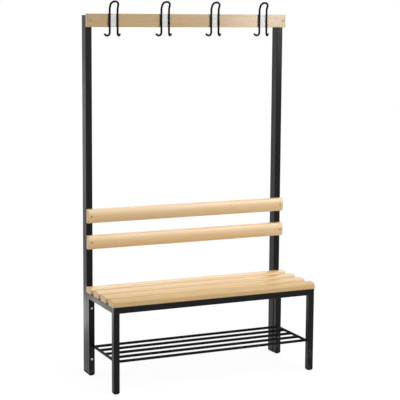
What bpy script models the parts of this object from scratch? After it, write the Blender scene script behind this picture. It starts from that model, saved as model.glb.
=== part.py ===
"""Changing room bench: a slatted seat and shoe rack bolted to two uprights with a backrest and a hook rail.

Metres, +Z up. The bench faces -Y, and the origin is on the floor under the middle of its outline.
"""

import math

import bmesh
import bpy
from mathutils import Matrix, Vector

# Fits
CLEARANCE = 0.0003
WELD_DISTANCE = 0.00001

# Slats
SLAT_LENGTH = 1.000
SLAT_WIDTH = 0.063
SLAT_THICKNESS = 0.030
SLAT_CROWN = 0.006
SLAT_EDGE_RADIUS = 0.008
SLAT_BACK_EDGE = 0.0015

# Seat
SEAT_HEIGHT = 0.420
SEAT_SLATS = 4
SEAT_GAP = 0.032
SEAT_OVERHANG = 0.0025

# Bench frame of square tube
TUBE = 0.028
TUBE_WALL = 0.002
TUBE_CORNER = 0.0025
TUBE_INNER_CORNER = 0.0008
HOLE_PATCH = 0.024

# Uprights of rectangular tube
UPRIGHT_WIDTH = 0.030
UPRIGHT_DEPTH = 0.050
UPRIGHT_HEIGHT = 1.646

# Feet and caps
FOOT_HEIGHT = 0.015
FOOT_ROUNDING = 0.011
FOOT_PLUG = 0.018
CAP_HEIGHT = 0.005
CAP_ROUNDING = 0.003
CAP_PLUG = 0.008

# Backrest
BACK_RISE = 0.170
BACK_SLATS = 2
BACK_GAP = 0.0575

# Hook rail
RAIL_HEIGHT = 0.060
RAIL_THICKNESS = 0.026
RAIL_EDGE = 0.001
RAIL_ABOVE_UPRIGHT = 0.007

# Hooks of bent wire
HOOKS = 4
WIRE = 0.009
HOOK_SPREAD = 0.0374
LOOP_STEM = 0.020
LOOP_BEND = 0.010
LOOP_TILT = math.radians(30)
LOOP_NECK = 0.0148
LEG_DROP = 0.0245
END_BEND = 0.013
END_SPLAY = math.radians(45)
END_SWEEP = math.radians(165)
PLATE_THICKNESS = 0.003
PLATE_MARGIN = 0.0005
PLATE_CORNER = 0.0006

# Shoe rack
RACK_HEIGHT = 0.1395
RACK_RODS = 5
ROD = 0.012

# Bolts between bench and uprights
BOLT = 0.006
BOLT_HEAD = 0.011
BOLT_HEAD_RISE = 0.0035
BOLT_BELOW_RAIL = 0.043
BOLT_BELOW_RACK = 0.060

# Slat screws and hook screws
SCREW = 0.006
SCREW_HEAD = 0.010
SCREW_RECESS = 0.0008
HOOK_SCREW = 0.004
HOOK_SCREW_HEAD = 0.0075
HOOK_SCREW_GRIP = 0.016
HOOK_SCREW_EDGE = 0.013
THREAD_REACH = 0.006

# Facets
CORNER_STEPS = 3
DOME_STEPS = 3
CROWN_STEPS = 8
BEND_STEPS = 10
TURN_STEPS = 16
WIRE_ROUNDNESS = 4
SHARP_ANGLE = math.radians(40)

# Layout worked out from the sizes above
FRAME_WIDTH = SLAT_LENGTH - 2 * SEAT_OVERHANG
BENCH_DEPTH = SEAT_SLATS * SLAT_WIDTH + (SEAT_SLATS - 1) * SEAT_GAP
FRONT = -(BENCH_DEPTH + CLEARANCE + UPRIGHT_DEPTH) / 2
FRAME_TOP = SEAT_HEIGHT - SLAT_THICKNESS - CLEARANCE
TUBE_BASE = FOOT_HEIGHT + CLEARANCE
LEG_X = FRAME_WIDTH / 2 - TUBE / 2
LEG_Y = {"front": FRONT + TUBE / 2, "rear": FRONT + BENCH_DEPTH - TUBE / 2}
BENCH_RAIL_Z = FRAME_TOP - TUBE / 2
UPRIGHT_X = FRAME_WIDTH / 2 - UPRIGHT_WIDTH / 2
UPRIGHT_FACE = FRONT + BENCH_DEPTH + CLEARANCE
UPRIGHT_Y = UPRIGHT_FACE + UPRIGHT_DEPTH / 2
UPRIGHT_TOP = UPRIGHT_HEIGHT - CAP_HEIGHT - CLEARANCE
BOARD_BACK = UPRIGHT_FACE - CLEARANCE
RAIL_Z = UPRIGHT_HEIGHT + RAIL_ABOVE_UPRIGHT - RAIL_HEIGHT / 2
RAIL_FACE = BOARD_BACK - RAIL_THICKNESS
PLATE_FACE = RAIL_FACE - CLEARANCE - PLATE_THICKNESS
RACK_FRONT = LEG_Y["front"] + TUBE / 2 + CLEARANCE
RACK_REAR = LEG_Y["rear"] - TUBE / 2 - CLEARANCE
BAR_X = FRAME_WIDTH / 2 - TUBE + ROD / 2
BOLT_Z = {"lower": RACK_HEIGHT - BOLT_BELOW_RACK, "upper": FRAME_TOP - TUBE - BOLT_BELOW_RAIL}
SIDES = {"left": -1, "right": 1}

# Turns that lay a piece's local Z axis along X, along -Y, straight up, straight down and along -X
ALONG_X = (math.pi / 2, 0, math.pi / 2)
FACING_FRONT = (math.pi / 2, 0, 0)
UPWARD = (0, 0, 0)
DOWNWARD = (math.pi, 0, 0)
CROWN_FORWARD = (math.pi, math.pi / 2, 0)


def clear_scene():
    """Removes what the scene holds at the start."""
    for item in list(bpy.data.objects):
        bpy.data.objects.remove(item, do_unlink=True)


def make_collection(name):
    """Adds a collection to the scene."""
    collection = bpy.data.collections.new(name)
    bpy.context.scene.collection.children.link(collection)
    return collection


def make_material(name, colour, roughness, metallic):
    """Makes a plain Principled material."""
    material = bpy.data.materials.new(name)
    material.use_nodes = True
    shader = material.node_tree.nodes["Principled BSDF"]
    shader.inputs["Base Color"].default_value = (*colour, 1.0)
    shader.inputs["Roughness"].default_value = roughness
    shader.inputs["Metallic"].default_value = metallic
    return material


def beech():
    """Pale lacquered beech of the slats and the hook rail."""
    return make_material("beech", (0.72, 0.52, 0.30), 0.45, 0.0)


def black_powder_coat():
    """Satin black coating of the tubes and rods."""
    return make_material("black_powder_coat", (0.015, 0.015, 0.016), 0.42, 0.0)


def black_hook_coating():
    """Smoother black coating of the hook wires."""
    return make_material("black_hook_coating", (0.010, 0.010, 0.010), 0.35, 0.0)


def black_plastic():
    """Black moulded plastic of the feet and caps."""
    return make_material("black_plastic", (0.012, 0.012, 0.012), 0.55, 0.0)


def zinc_plate():
    """Pale zinc plating of the hook plates, screws and bolts."""
    return make_material("zinc_plate", (0.62, 0.63, 0.64), 0.35, 1.0)


clear_scene()
PARTS = make_collection("changing_room_bench")
CUTTERS = make_collection("cutters")
ROOT = bpy.data.objects.new("bench_origin", None)
PARTS.objects.link(ROOT)
BEECH = beech()
BLACK_COAT = black_powder_coat()
BLACK_WIRE = black_hook_coating()
BLACK_PLASTIC = black_plastic()
ZINC = zinc_plate()


def add_part(name, mesh, material, location, rotation=UPWARD):
    """Places a mesh as a named sub-part of the bench."""
    part = bpy.data.objects.new(name, mesh)
    part.location = location
    part.rotation_euler = rotation
    part.parent = ROOT
    mesh.materials.clear()
    mesh.materials.append(material)
    PARTS.objects.link(part)
    return part


def add_cutter(name, mesh, location, rotation):
    """Places a mesh that only cuts holes."""
    cutter = bpy.data.objects.new(name, mesh)
    cutter.location = location
    cutter.rotation_euler = rotation
    cutter.hide_render = True
    cutter.display_type = "WIRE"
    CUTTERS.objects.link(cutter)
    return cutter


def cut(part, cutter):
    """Cuts one hole through a part."""
    modifier = part.modifiers.new(cutter.name, "BOOLEAN")
    modifier.operation = "DIFFERENCE"
    modifier.solver = "EXACT"
    modifier.object = cutter


def mesh_of_curve(curve, name):
    """Turns a curve into a welded mesh with its faces pointing out."""
    holder = bpy.data.objects.new(name, curve)
    bpy.context.scene.collection.objects.link(holder)
    evaluated = holder.evaluated_get(bpy.context.evaluated_depsgraph_get())
    mesh = bpy.data.meshes.new_from_object(evaluated)
    mesh.name = name
    bpy.data.objects.remove(holder, do_unlink=True)
    bm = bmesh.new()
    bm.from_mesh(mesh)
    bmesh.ops.remove_doubles(bm, verts=bm.verts, dist=WELD_DISTANCE)
    bmesh.ops.recalc_face_normals(bm, faces=bm.faces)
    bm.to_mesh(mesh)
    bm.free()
    mesh.shade_smooth()
    mesh.set_sharp_from_angle(angle=SHARP_ANGLE)
    return mesh


def add_spline(curve, points, cyclic):
    """Adds a straight-segment spline through points."""
    spline = curve.splines.new("POLY")
    spline.points.add(len(points) - 1)
    for target, point in zip(spline.points, points):
        target.co = (*Vector(point).to_3d(), 1.0)
    spline.use_cyclic_u = cyclic


def extruded(name, outlines, length):
    """Extrudes flat outlines along local Z, the inner ones as holes."""
    curve = bpy.data.curves.new(name, "CURVE")
    curve.dimensions = "2D"
    curve.fill_mode = "BOTH"
    curve.extrude = length / 2
    for outline in outlines:
        add_spline(curve, outline, True)
    return mesh_of_curve(curve, name)


def round_wire(name, path, diameter):
    """Sweeps a round wire with flat ends along a path."""
    curve = bpy.data.curves.new(name, "CURVE")
    curve.dimensions = "3D"
    curve.bevel_depth = diameter / 2
    curve.bevel_resolution = WIRE_ROUNDNESS
    curve.use_fill_caps = True
    add_spline(curve, path, False)
    return mesh_of_curve(curve, name)


def turned(name, profile):
    """Half section of a turned piece: radius and height pairs from the axis at the top to the axis below."""
    mesh = bpy.data.meshes.new(name)
    points = [(radius, 0, height) for radius, height in profile]
    edges = [(i, i + 1) for i in range(len(points) - 1)]
    mesh.from_pydata(points, edges, [])
    return mesh


def turn(item):
    """Turns a half section about its local Z axis."""
    screw = item.modifiers.new("turn", "SCREW")
    screw.steps = TURN_STEPS
    screw.render_steps = TURN_STEPS
    screw.use_merge_vertices = True
    screw.merge_threshold = WELD_DISTANCE


def arc(centre, radius, start, end, steps):
    """Points on a circular arc in a plane, both ends included."""
    angles = [start + (end - start) * i / steps for i in range(steps + 1)]
    return [Vector((centre[0] + radius * math.cos(a), centre[1] + radius * math.sin(a))) for a in angles]


def rounded_rectangle(width, height, radius):
    """Outline of a rectangle about the origin with round corners."""
    outline = []
    for quarter, (sx, sy) in enumerate(((1, 1), (-1, 1), (-1, -1), (1, -1))):
        centre = (sx * (width / 2 - radius), sy * (height / 2 - radius))
        start = quarter * math.pi / 2
        outline += arc(centre, radius, start, start + math.pi / 2, CORNER_STEPS)
    return outline


def tube(name, width, height, length):
    """Rectangular tube along local Z, open at both ends."""
    outer = rounded_rectangle(width, height, TUBE_CORNER)
    inner = rounded_rectangle(width - 2 * TUBE_WALL, height - 2 * TUBE_WALL, TUBE_INNER_CORNER)
    return extruded(name, [outer, inner], length)


def divide(mesh, heights):
    """Divides a tube's walls just above and below each hole, so that every hole has a short patch of wall."""
    bm = bmesh.new()
    bm.from_mesh(mesh)
    for height in heights:
        for level in (height - HOLE_PATCH / 2, height + HOLE_PATCH / 2):
            everything = bm.verts[:] + bm.edges[:] + bm.faces[:]
            bmesh.ops.bisect_plane(bm, geom=everything, plane_co=(0, 0, level), plane_no=(0, 0, 1))
    bm.to_mesh(mesh)
    bm.free()


def slat(name, length):
    """Slat along local Z: flat back at local Y 0, a crowned face and round edges tangent to the crown."""
    half = SLAT_WIDTH / 2
    crown_radius = (half ** 2 + SLAT_CROWN ** 2) / (2 * SLAT_CROWN)
    crown_centre = SLAT_THICKNESS - crown_radius
    across = half - SLAT_EDGE_RADIUS
    edge_y = crown_centre + math.sqrt((crown_radius - SLAT_EDGE_RADIUS) ** 2 - across ** 2)
    lean = math.atan2(edge_y - crown_centre, across)
    outline = arc((across, edge_y), SLAT_EDGE_RADIUS, 0, lean, CORNER_STEPS)
    outline += arc((0, crown_centre), crown_radius, lean, math.pi - lean, CROWN_STEPS)[1:-1]
    outline += arc((-across, edge_y), SLAT_EDGE_RADIUS, math.pi - lean, math.pi, CORNER_STEPS)
    inner = half - SLAT_BACK_EDGE
    outline += [(-half, SLAT_BACK_EDGE), (-inner, 0), (inner, 0), (half, SLAT_BACK_EDGE)]
    return extruded(name, [outline], length)


def plug(name, width, depth, height, rounding, insert):
    """Moulded tube end: a head as wide as the tube, marked for rounding, and an insert for the tube."""
    bm = bmesh.new()
    bmesh.ops.create_cube(bm, size=1, matrix=Matrix.Diagonal((width, depth, height, 1)))
    weights = bm.edges.layers.float.new("bevel_weight_edge")
    top = max(bm.faces, key=lambda face: face.calc_center_median().z)
    for edge in bm.edges:
        below = [vert.co.z < 0 for vert in edge.verts]
        if all(below):
            edge[weights] = rounding / (rounding + TUBE_CORNER)
        elif any(below):
            edge[weights] = TUBE_CORNER / (rounding + TUBE_CORNER)
    bmesh.ops.inset_region(bm, faces=[top], thickness=TUBE_WALL + CLEARANCE, use_even_offset=True)
    grown = bmesh.ops.extrude_face_region(bm, geom=[top])
    raised = [item for item in grown["geom"] if isinstance(item, bmesh.types.BMVert)]
    bmesh.ops.translate(bm, verts=raised, vec=(0, 0, insert))
    bm.faces.remove(top)
    mesh = bpy.data.meshes.new(name)
    bm.to_mesh(mesh)
    bm.free()
    return mesh


def round_plug(part, rounding):
    """Rounds the marked edges of a plug's head."""
    bevel = part.modifiers.new("rounding", "BEVEL")
    bevel.limit_method = "WEIGHT"
    bevel.width = rounding + TUBE_CORNER
    bevel.segments = CORNER_STEPS


def add_foot(name, width, depth, x, y):
    """Plastic foot in the lower end of a tube."""
    mesh = plug(name, width, depth, FOOT_HEIGHT, FOOT_ROUNDING, FOOT_PLUG)
    round_plug(add_part(name, mesh, BLACK_PLASTIC, (x, y, FOOT_HEIGHT / 2)), FOOT_ROUNDING)


def add_cap(side, x):
    """Plastic cap in the top of an upright."""
    name = "upright_cap_" + side
    mesh = plug(name, UPRIGHT_WIDTH, UPRIGHT_DEPTH, CAP_HEIGHT, CAP_ROUNDING, CAP_PLUG)
    place = (x, UPRIGHT_Y, UPRIGHT_HEIGHT - CAP_HEIGHT / 2)
    round_plug(add_part(name, mesh, BLACK_PLASTIC, place, DOWNWARD), CAP_ROUNDING)


def back_slat_z(i):
    """Height of the middle of a backrest slat."""
    return SEAT_HEIGHT + BACK_RISE + SLAT_WIDTH / 2 + i * (SLAT_WIDTH + BACK_GAP)


def add_upright(side, x):
    """Rear upright, its wall divided around the holes for the bolts and the board screws."""
    name = "upright_" + side
    middle = (UPRIGHT_TOP + TUBE_BASE) / 2
    mesh = tube(name, UPRIGHT_WIDTH, UPRIGHT_DEPTH, UPRIGHT_TOP - TUBE_BASE)
    holes = [*BOLT_Z.values(), *(back_slat_z(i) for i in range(BACK_SLATS)), RAIL_Z]
    divide(mesh, [z - middle for z in holes])
    return add_part(name, mesh, BLACK_COAT, (x, UPRIGHT_Y, middle))


def add_leg(row, side, x):
    """Leg of the bench, up to the underside of the slats."""
    name = f"{row}_leg_{side}"
    mesh = tube(name, TUBE, TUBE, FRAME_TOP - TUBE_BASE)
    return add_part(name, mesh, BLACK_COAT, (x, LEG_Y[row], (FRAME_TOP + TUBE_BASE) / 2))


def add_cross_rail(row):
    """Rail between the two legs at the front or the rear."""
    name = row + "_rail"
    length = FRAME_WIDTH - 2 * TUBE - 2 * CLEARANCE
    add_part(name, tube(name, TUBE, TUBE, length), BLACK_COAT, (0, LEG_Y[row], BENCH_RAIL_Z), ALONG_X)


def add_side_rail(side, x):
    """Rail between a front leg and a rear leg, under the slats' ends."""
    name = "side_rail_" + side
    place = (x, (RACK_FRONT + RACK_REAR) / 2, BENCH_RAIL_Z)
    add_part(name, tube(name, TUBE, TUBE, RACK_REAR - RACK_FRONT), BLACK_COAT, place, FACING_FRONT)


def add_rack_bar(side, x):
    """Side bar of the shoe rack between a front leg and a rear leg."""
    name = "rack_bar_" + side
    path = [(0, RACK_FRONT, 0), (0, RACK_REAR, 0)]
    add_part(name, round_wire(name, path, ROD), BLACK_COAT, (x, 0, RACK_HEIGHT))


def add_rack_rod(i):
    """Rod of the shoe rack between the side bars."""
    name = f"rack_rod_{i + 1}"
    reach = BAR_X - ROD / 2 - CLEARANCE
    pitch = (RACK_REAR - RACK_FRONT - ROD) / (RACK_RODS - 1)
    place = (0, RACK_FRONT + ROD / 2 + i * pitch, RACK_HEIGHT)
    add_part(name, round_wire(name, [(-reach, 0, 0), (reach, 0, 0)], ROD), BLACK_COAT, place)


def bolt_section(length):
    """Half section of a dome-headed bolt whose head rests at height 0."""
    angles = [math.pi / 2 * i / DOME_STEPS for i in range(DOME_STEPS + 1)]
    dome = [(BOLT_HEAD / 2 * math.sin(a), BOLT_HEAD_RISE * math.cos(a)) for a in angles]
    return dome + [(BOLT / 2, 0), (BOLT / 2, -length), (0, -length)]


def bolt_hole_section(length):
    """Half section of the hole for a bolt."""
    wide = BOLT / 2 + CLEARANCE
    deep = length + CLEARANCE
    return [(0, BOLT_HEAD_RISE), (wide, BOLT_HEAD_RISE), (wide, -deep), (0, -deep)]


def add_bolt(side, level, x, held):
    """Bolt through a rear leg into the front wall of its upright."""
    name = f"bench_bolt_{side}_{level}"
    length = TUBE + 2 * CLEARANCE + TUBE_WALL + THREAD_REACH
    place = (x, RACK_REAR, BOLT_Z[level])
    turn(add_part(name, turned(name, bolt_section(length)), ZINC, place, FACING_FRONT))
    hole_name = "hole_" + name
    cutter = add_cutter(hole_name, turned(hole_name, bolt_hole_section(length)), place, FACING_FRONT)
    turn(cutter)
    for piece in held:
        cut(piece, cutter)


def screw_section(head, shank, length):
    """Half section of a countersunk screw with the top of its head at height 0."""
    taper = (head - shank) / 2
    return [(0, 0), (head / 2, 0), (shank / 2, -taper), (shank / 2, -length), (0, -length)]


def screw_hole_section(head, shank, length, mouth):
    """Half section of the hole for a countersunk screw, open to the front."""
    taper = (head - shank) / 2
    wide = head / 2 + CLEARANCE
    narrow = shank / 2 + CLEARANCE
    deep = length + CLEARANCE
    return [(0, mouth), (wide, mouth), (wide, 0), (narrow, -taper), (narrow, -deep), (0, -deep)]


def add_screw(name, head, shank, length, mouth, place, held):
    """Countersunk screw facing the front, with its hole cut in what it holds."""
    turn(add_part(name, turned(name, screw_section(head, shank, length)), ZINC, place, FACING_FRONT))
    hole_name = "hole_" + name
    hole = turned(hole_name, screw_hole_section(head, shank, length, mouth))
    cutter = add_cutter(hole_name, hole, place, FACING_FRONT)
    turn(cutter)
    for piece in held:
        cut(piece, cutter)


def add_board_screw(name, thickness, x, z, held):
    """Screw through a slat or the hook rail into the front wall of an upright."""
    length = thickness - SCREW_RECESS + CLEARANCE + TUBE_WALL + THREAD_REACH
    place = (x, BOARD_BACK - thickness + SCREW_RECESS, z)
    add_screw(name, SCREW_HEAD, SCREW, length, thickness, place, held)


def add_seat_slat(i):
    """Seat slat across the side rails, crowned side up."""
    name = f"seat_slat_{i + 1}"
    y = FRONT + SLAT_WIDTH / 2 + i * (SLAT_WIDTH + SEAT_GAP)
    add_part(name, slat(name, SLAT_LENGTH), BEECH, (0, y, FRAME_TOP + CLEARANCE), ALONG_X)


def add_back_slat(i, uprights):
    """Backrest slat, crowned side to the front, with one screw into each upright."""
    name = f"back_slat_{i + 1}"
    z = back_slat_z(i)
    board = add_part(name, slat(name, FRAME_WIDTH), BEECH, (0, BOARD_BACK, z), CROWN_FORWARD)
    for side, sign in SIDES.items():
        held = [board, uprights[side]]
        add_board_screw(f"back_screw_{i + 1}_{side}", SLAT_THICKNESS, sign * UPRIGHT_X, z, held)


def add_hook_rail(uprights):
    """Flat board across the uprights, with one screw into each."""
    outline = rounded_rectangle(RAIL_THICKNESS, RAIL_HEIGHT, RAIL_EDGE)
    mesh = extruded("hook_rail", [outline], FRAME_WIDTH)
    board = add_part("hook_rail", mesh, BEECH, (0, BOARD_BACK - RAIL_THICKNESS / 2, RAIL_Z), ALONG_X)
    for side, sign in SIDES.items():
        held = [board, uprights[side]]
        add_board_screw("rail_screw_" + side, RAIL_THICKNESS, sign * UPRIGHT_X, RAIL_Z, held)
    return board


def hook_loop():
    """Right half of a hook's loop, from its top down to the rail's face.

    The loop is half a circle in a plane that tilts forward. Below it come a straight neck and a bend that
    brings the wire upright.
    """
    leg = HOOK_SPREAD / 2
    bend_z = RAIL_HEIGHT / 2 + LOOP_STEM
    neck_z = bend_z + LOOP_BEND * math.sin(LOOP_TILT)
    neck_y = -LOOP_BEND * (1 - math.cos(LOOP_TILT))
    path = []
    for point in arc((0, LOOP_NECK), leg, math.pi / 2, 0, BEND_STEPS):
        y = neck_y - point.y * math.sin(LOOP_TILT)
        path.append(Vector((point.x, y, neck_z + point.y * math.cos(LOOP_TILT))))
    for step in range(CORNER_STEPS, -1, -1):
        angle = LOOP_TILT * step / CORNER_STEPS
        y = -LOOP_BEND * (1 - math.cos(angle))
        path.append(Vector((leg, y, bend_z + LOOP_BEND * math.sin(angle))))
    return path


def hook_end():
    """Right end of a hook: a round upturn below the rail that points outward and back."""
    leg = HOOK_SPREAD / 2
    start_z = -RAIL_HEIGHT / 2 - LEG_DROP
    path = []
    for step in range(BEND_STEPS + 1):
        angle = END_SWEEP * step / BEND_STEPS
        reach = END_BEND * (1 - math.cos(angle))
        x = leg + reach * math.cos(END_SPLAY)
        path.append(Vector((x, reach * math.sin(END_SPLAY), start_z - END_BEND * math.sin(angle))))
    return path


def add_hook(i, x):
    """Hook of one bent wire on the rail's face: two turned-up ends, two legs and a loop."""
    name = f"hook_{i + 1}"
    right = hook_loop() + hook_end()
    left = [Vector((-point.x, point.y, point.z)) for point in reversed(right[1:])]
    place = (x, RAIL_FACE - CLEARANCE - WIRE / 2, RAIL_Z)
    add_part(name, round_wire(name, left + right, WIRE), BLACK_WIRE, place)


def add_hook_plate(i, x, rail):
    """Plate between a hook's legs, with two screws into the rail."""
    name = f"hook_plate_{i + 1}"
    width = HOOK_SPREAD - WIRE - 2 * CLEARANCE
    outline = rounded_rectangle(width, RAIL_HEIGHT - 2 * PLATE_MARGIN, PLATE_CORNER)
    place = (x, PLATE_FACE + PLATE_THICKNESS / 2, RAIL_Z)
    plate = add_part(name, extruded(name, [outline], PLATE_THICKNESS), ZINC, place, FACING_FRONT)
    offset = RAIL_HEIGHT / 2 - HOOK_SCREW_EDGE
    length = PLATE_THICKNESS + HOOK_SCREW_GRIP
    for level, sign in (("lower", -1), ("upper", 1)):
        spot = (x, PLATE_FACE, RAIL_Z + sign * offset)
        screw_name = f"hook_screw_{i + 1}_{level}"
        add_screw(screw_name, HOOK_SCREW_HEAD, HOOK_SCREW, length, PLATE_THICKNESS, spot, [plate, rail])


def build_side(side, sign):
    """One end of the bench: upright, legs, feet, side rail, rack bar and bolts. Returns the upright."""
    upright = add_upright(side, sign * UPRIGHT_X)
    add_cap(side, sign * UPRIGHT_X)
    add_foot("upright_foot_" + side, UPRIGHT_WIDTH, UPRIGHT_DEPTH, sign * UPRIGHT_X, UPRIGHT_Y)
    legs = {row: add_leg(row, side, sign * LEG_X) for row in LEG_Y}
    for row, y in LEG_Y.items():
        add_foot(f"{row}_foot_{side}", TUBE, TUBE, sign * LEG_X, y)
    add_side_rail(side, sign * LEG_X)
    add_rack_bar(side, sign * BAR_X)
    for level in BOLT_Z:
        add_bolt(side, level, sign * LEG_X, [legs["rear"], upright])
    return upright


def build():
    """Builds the bench from its ends to the hooks."""
    uprights = {side: build_side(side, sign) for side, sign in SIDES.items()}
    for row in LEG_Y:
        add_cross_rail(row)
    for i in range(RACK_RODS):
        add_rack_rod(i)
    for i in range(SEAT_SLATS):
        add_seat_slat(i)
    for i in range(BACK_SLATS):
        add_back_slat(i, uprights)
    rail = add_hook_rail(uprights)
    for i in range(HOOKS):
        x = (i - (HOOKS - 1) / 2) * SLAT_LENGTH / HOOKS
        add_hook(i, x)
        add_hook_plate(i, x, rail)


build()
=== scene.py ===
"""Changing room bench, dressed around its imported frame: beech slats, coated tubes and bent-wire hooks.

Every new piece is a grid of points worked out with numpy, in metres, in the place where the frame has it.
"""

import math

import bmesh
import bpy
import numpy as np
from mathutils import Matrix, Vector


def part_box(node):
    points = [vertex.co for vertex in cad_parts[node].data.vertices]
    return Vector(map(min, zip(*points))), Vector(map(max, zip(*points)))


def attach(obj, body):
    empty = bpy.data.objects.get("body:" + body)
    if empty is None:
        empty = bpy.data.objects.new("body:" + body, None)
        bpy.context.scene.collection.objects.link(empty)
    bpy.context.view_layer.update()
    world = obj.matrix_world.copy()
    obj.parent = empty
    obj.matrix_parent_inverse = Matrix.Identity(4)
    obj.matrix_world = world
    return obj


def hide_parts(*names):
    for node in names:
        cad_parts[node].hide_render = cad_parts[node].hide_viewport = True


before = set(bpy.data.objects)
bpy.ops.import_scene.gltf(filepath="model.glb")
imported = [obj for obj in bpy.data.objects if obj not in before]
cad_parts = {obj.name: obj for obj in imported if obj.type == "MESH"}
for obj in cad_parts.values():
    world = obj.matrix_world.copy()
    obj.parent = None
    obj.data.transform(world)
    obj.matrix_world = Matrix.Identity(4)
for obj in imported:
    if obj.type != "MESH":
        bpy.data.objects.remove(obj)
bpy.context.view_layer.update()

MM = 0.001
TAU = 2 * math.pi
QUARTER = math.pi / 2
AXES = np.eye(3)
X, Y, Z = AXES
SIDES = {"left": -1, "right": 1}
ROWS = {"front": 1, "rear": -1}

# Points closer than this are one point, and edges that fold by more than this are sharp
SAME_POINT = 1e-6
SHARP_FOLD = math.radians(38)

# Fits and sections, as the frame has them
GAP = 0.3 * MM
TUBE_WALL = 2.0 * MM
TUBE_CORNER = 2.5 * MM
TUBE_INNER_CORNER = 0.8 * MM
SLAT_CROWN = 6.0 * MM
SLAT_EDGE = 8.0 * MM
SLAT_BACK_EDGE = 1.5 * MM
FOOT_HEIGHT = 15 * MM
FOOT_ROUNDING = 11 * MM
CAP_HEIGHT = 5 * MM
CAP_ROUNDING = 3 * MM

# Eased edges of the hook rail, of the boards' ends and of the hook plates
RAIL_EDGE = 1.2 * MM
BOARD_END_EASE = 1.1 * MM
PLATE_EDGE = 0.5 * MM

# Hook wire, as the frame bends it
WIRE = 9.0 * MM
HOOK_SPREAD = 37.4 * MM
LOOP_STEM = 20.0 * MM
LOOP_BEND = 10.0 * MM
LOOP_TILT = math.radians(30)
LOOP_NECK = 14.8 * MM
LEG_DROP = 24.5 * MM
END_BEND = 13.0 * MM
END_SPLAY = math.radians(45)
END_SWEEP = math.radians(165)
WIRE_TIP = 3.2 * MM

# Coats on wire and rods, as thick as the fit's gap
DIP = GAP
ROD_COAT = GAP

# Tube ends: rounding of an open rim and of a welded one, lip of a moulded head, taper of its insert's tip
OPEN_RIM = 0.35 * MM
WELDED_RIM = 0.05 * MM
HEAD_LIP = 0.3 * MM
INSERT_TAPER = 1.0 * MM
INSERT_POINT = 0.6 * MM

# Screws: sizes, then the plain rim under a domed head and the underside of a pan head
BOARD_SCREW = {"head": 10.0 * MM, "shank": 6.0 * MM, "length": 20 * MM}
BOARD_SCREW |= {"rise": 0.35 * MM, "arm": 1.5 * MM, "deep": 1.5 * MM}
HOOK_SCREW = {"head": 7.5 * MM, "shank": 4.0 * MM, "length": 12 * MM}
HOOK_SCREW |= {"rise": 0.45 * MM, "arm": 1.1 * MM, "deep": 1.2 * MM}
SEAT_SCREW = {"head": 9.0 * MM, "shank": 5.0 * MM, "length": 8 * MM, "pan": True}
SEAT_SCREW |= {"rise": 2.6 * MM, "arm": 1.4 * MM, "deep": 1.6 * MM}
HEAD_RIM = 0.25 * MM
PAN_SEAT = 0.3 * MM
PAN_UNDERSIDE = 0.31 * MM

# Cross recess: its reach as a share of the head's radius, its open centre as a share of an arm's width, the
# foot and brink of an arm's walls as shares of its angle, and the widest angle of an arm
RECESS_REACH = 0.62
RECESS_CENTRE = 0.74
ARM_FOOT, ARM_BRINK = 0.94, 1.06
ARM_WIDEST = math.radians(43)

# Rings of a screw's head, as shares of the recess's reach and of the head's radius, and columns between arms
INNER_RING = 0.02
RECESS_RINGS = (*np.linspace(INNER_RING, 1, 8), 1.02)
DOME_RINGS = np.linspace(0.72, 0.97, 4)
LAND_COLUMNS = (0, 0.33, 0.67, 1)

# Where screws sit: how deep in a board and in a plate, and how far from the ends of a side rail
BOARD_SCREW_SUNK = 0.8 * MM
HOOK_SCREW_SUNK = 0.1 * MM
SEAT_SCREW_INSET = 13 * MM

# How far the cross recesses are turned: first value, then steps from screw to screw, in radians
BOARD_SCREW_TURN, BOARD_TURN_STEP, BOARD_TURN_SIDE = 0.5, 1.1, 0.7
HOOK_SCREW_TURNS = {"lower": 0.9, "upper": 0.2}
HOOK_TURN_STEP = 0.6

# Bolts
BOLT_HEAD = 11.0 * MM
BOLT_RISE = 3.5 * MM
BOLT_SHANK = 6.0 * MM
BOLT_LENGTH = 12 * MM
BOLT_SOCKET = 4.0 * MM
SOCKET_DEPTH = 2.0 * MM
SOCKET_POINT = 0.5 * MM
SOCKET_EASE = 0.1 * MM
SOCKET_LIP = 0.15 * MM
SOCKET_FLOOR_SHARE, SOCKET_MOUTH_SHARE = 0.96, 1.06
BOLT_DOME_RINGS = np.sin(np.linspace(0.12, 1, 10) * QUARTER)

# Mouths of screw holes, from the face down to the floor: radius and depth
BOARD_MOUTH_FLOOR = BOARD_SCREW_SUNK + 0.35 * MM
BOARD_MOUTH = [
    (5.7 * MM, 0),
    (5.45 * MM, 0.06 * MM),
    (5.3 * MM, 0.22 * MM),
    (5.3 * MM, BOARD_MOUTH_FLOOR),
    (0, BOARD_MOUTH_FLOOR),
]
PLATE_MOUTH = [
    (4.3 * MM, 0),
    (4.1 * MM, 0.08 * MM),
    (3.9 * MM, 0.35 * MM),
    (3.85 * MM, 0.6 * MM),
    (0, 0.6 * MM),
]

# Welds: the bead's radius, ripple and runs, the fillets of the rack, and how far round a bar a rod is
# coped, as a share of the bar's radius
BEAD = 1.9 * MM
BEAD_RIPPLE = 2.3 * MM
BEAD_RIPPLE_SHARE = 0.1
BEAD_STEP = 0.6 * MM
BEAD_TIP = 2 * MM
BEAD_RUN_OUT = 3 * MM
BEAD_BELOW_TOP = 3 * MM
BEAD_DEEP = 0.5 * MM
BEAD_FLUSH_DEEP = 1.75 * MM
ROD_FILLET = 1.6 * MM
ROD_FILLET_LENGTH = 4.0 * MM
ROD_FILLET_FADE = 1.5
FILLET_ROW_GROWTH = 1.5
COPE_HIGHEST = 0.995
BAR_FILLET_EVEN, BAR_FILLET_OUTWARD, BAR_FILLET_SIDES = 0.25, 0.75, 0.5

# Patch of cells round a screw hole: cells along a side, half its side, and how far off the even rows keep
PATCH_CELLS = 8
BOARD_PATCH = 8 * MM
PLATE_PATCH = 6 * MM
PATCH_CLEAR = 1.3

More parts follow.
